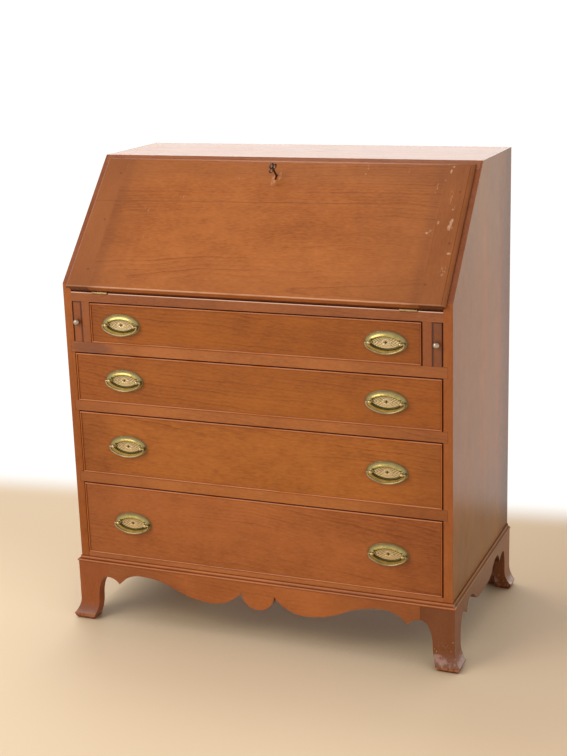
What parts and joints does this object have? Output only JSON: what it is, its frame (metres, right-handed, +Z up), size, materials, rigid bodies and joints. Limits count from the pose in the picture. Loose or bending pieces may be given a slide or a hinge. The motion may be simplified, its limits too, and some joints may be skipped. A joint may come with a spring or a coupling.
{
  "type": "escritoire",
  "caption": "Slant-front escritoire in orange-brown wood: graduated drawers with oval brass pulls, scalloped apron, splayed feet, fall front on pull-out lopers.",
  "frame": {"origin": "on the floor, under the middle of the desk's overall box", "axes": "+Z up; +X to the right seen from the front; the front faces -Y"},
  "size_m": [0.9544, 0.5218, 1.082],
  "materials": {
    "case_wood": "satin",
    "foot_wood": "satin",
    "lid_wood": "satin",
    "drawer_wood": "satin",
    "pale_wood": "unfinished",
    "brass": "aged",
    "iron": "dark"
  },
  "bodies": {
    "case": {"side_left": "case_wood", "side_right": "case_wood", "top_board": "case_wood", "back_boards": "pale_wood", "bottom_board": "pale_wood", "desk_bed": "case_wood", "drawer_rails": "case_wood", "loper_dividers": "case_wood", "drawer_runners": "pale_wood", "base_moulding": "case_wood", "front_apron": "case_wood", "side_aprons": "case_wood", "foot_front_left": "foot_wood", "foot_front_right": "foot_wood", "foot_rear_left": "foot_wood", "foot_rear_right": "foot_wood", "hinge_case_leaves": "brass", "gallery_partitions": "case_wood", "gallery_valances": "case_wood"},
    "lid": {"lid_panel": "lid_wood", "lid_cleats": "lid_wood", "hinge_lid_leaves": "brass", "lock_case": "iron"},
    "bolt": {"lock_bolt": "iron"},
    "key": {"key": "iron"},
    "drawer_1": {"drawer_1_front": "drawer_wood", "drawer_1_bead": "drawer_wood", "drawer_1_box": "pale_wood", "drawer_1_brasses": "brass"},
    "drawer_1_bail_left": {"drawer_1_bail_left": "brass"},
    "drawer_1_bail_right": {"drawer_1_bail_right": "brass"},
    "drawer_2": {"drawer_2_front": "drawer_wood", "drawer_2_bead": "drawer_wood", "drawer_2_box": "pale_wood", "drawer_2_brasses": "brass"},
    "drawer_2_bail_left": {"drawer_2_bail_left": "brass"},
    "drawer_2_bail_right": {"drawer_2_bail_right": "brass"},
    "drawer_3": {"drawer_3_front": "drawer_wood", "drawer_3_bead": "drawer_wood", "drawer_3_box": "pale_wood", "drawer_3_brasses": "brass"},
    "drawer_3_bail_left": {"drawer_3_bail_left": "brass"},
    "drawer_3_bail_right": {"drawer_3_bail_right": "brass"},
    "drawer_4": {"drawer_4_front": "drawer_wood", "drawer_4_bead": "drawer_wood", "drawer_4_box": "pale_wood", "drawer_4_brasses": "brass"},
    "drawer_4_bail_left": {"drawer_4_bail_left": "brass"},
    "drawer_4_bail_right": {"drawer_4_bail_right": "brass"},
    "loper_left": {"loper_left": "case_wood", "loper_knob_left": "brass"},
    "loper_right": {"loper_right": "case_wood", "loper_knob_right": "brass"},
    "gallery_drawer_left": {"gallery_drawer_left": "drawer_wood", "gallery_knob_left": "brass"},
    "gallery_drawer_middle": {"gallery_drawer_middle": "drawer_wood", "gallery_knob_middle": "brass"},
    "gallery_drawer_right": {"gallery_drawer_right": "drawer_wood", "gallery_knob_right": "brass"}
  },
  "joints": [
    {"name": "lid_hinge", "type": "hinge", "parent": "case", "child": "lid", "pos_m": [0, -0.24265, 0.801], "axis": [1, 0, 0], "range_deg": [0, 132.6]},
    {"name": "key_turn", "type": "hinge", "parent": "lid", "child": "key", "pos_m": [-0.004, -0.0301, 1.03196], "axis": [0, -0.7358, 0.6772], "range_deg": [0, 180]},
    {"name": "bolt_slide", "type": "slide", "parent": "lid", "child": "bolt", "axis": [0, 0.6772, 0.7358], "range_m": [0, 0.0101]},
    {"name": "drawer_1_slide", "type": "slide", "parent": "case", "child": "drawer_1", "axis": [0, -1, 0], "range_m": [0, 0.265]},
    {"name": "drawer_1_bail_left_swing", "type": "hinge", "parent": "drawer_1", "child": "drawer_1_bail_left", "pos_m": [-0.3125, -0.25215, 0.72925], "axis": [-1, 0, 0], "range_deg": [0, 90]},
    {"name": "drawer_1_bail_right_swing", "type": "hinge", "parent": "drawer_1", "child": "drawer_1_bail_right", "pos_m": [0.3125, -0.25215, 0.72925], "axis": [-1, 0, 0], "range_deg": [0, 90]},
    {"name": "drawer_2_slide", "type": "slide", "parent": "case", "child": "drawer_2", "axis": [0, -1, 0], "range_m": [0, 0.33]},
    {"name": "drawer_2_bail_left_swing", "type": "hinge", "parent": "drawer_2", "child": "drawer_2_bail_left", "pos_m": [-0.3125, -0.25215, 0.59975], "axis": [-1, 0, 0], "range_deg": [0, 90]},
    {"name": "drawer_2_bail_right_swing", "type": "hinge", "parent": "drawer_2", "child": "drawer_2_bail_right", "pos_m": [0.3125, -0.25215, 0.59975], "axis": [-1, 0, 0], "range_deg": [0, 90]},
    {"name": "drawer_3_slide", "type": "slide", "parent": "case", "child": "drawer_3", "axis": [0, -1, 0], "range_m": [0, 0.33]},
    {"name": "drawer_3_bail_left_swing", "type": "hinge", "parent": "drawer_3", "child": "drawer_3_bail_left", "pos_m": [-0.3125, -0.25215, 0.4425], "axis": [-1, 0, 0], "range_deg": [0, 90]},
    {"name": "drawer_3_bail_right_swing", "type": "hinge", "parent": "drawer_3", "child": "drawer_3_bail_right", "pos_m": [0.3125, -0.25215, 0.4425], "axis": [-1, 0, 0], "range_deg": [0, 90]},
    {"name": "drawer_4_slide", "type": "slide", "parent": "case", "child": "drawer_4", "axis": [0, -1, 0], "range_m": [0, 0.33]},
    {"name": "drawer_4_bail_left_swing", "type": "hinge", "parent": "drawer_4", "child": "drawer_4_bail_left", "pos_m": [-0.3125, -0.25215, 0.2545], "axis": [-1, 0, 0], "range_deg": [0, 90]},
    {"name": "drawer_4_bail_right_swing", "type": "hinge", "parent": "drawer_4", "child": "drawer_4_bail_right", "pos_m": [0.3125, -0.25215, 0.2545], "axis": [-1, 0, 0], "range_deg": [0, 90]},
    {"name": "loper_left_slide", "type": "slide", "parent": "case", "child": "loper_left", "axis": [0, -1, 0], "range_m": [0, 0.28]},
    {"name": "loper_right_slide", "type": "slide", "parent": "case", "child": "loper_right", "axis": [0, -1, 0], "range_m": [0, 0.28]},
    {"name": "gallery_drawer_left_slide", "type": "slide", "parent": "case", "child": "gallery_drawer_left", "axis": [0, -1, 0], "range_m": [0, 0.14]},
    {"name": "gallery_drawer_middle_slide", "type": "slide", "parent": "case", "child": "gallery_drawer_middle", "axis": [0, -1, 0], "range_m": [0, 0.14]},
    {"name": "gallery_drawer_right_slide", "type": "slide", "parent": "case", "child": "gallery_drawer_right", "axis": [0, -1, 0], "range_m": [0, 0.14]}
  ],
  "couplings": [
    {"joint": "bolt_slide", "follows": "key_turn", "m_per_rad": 0.0031831}
  ]
}
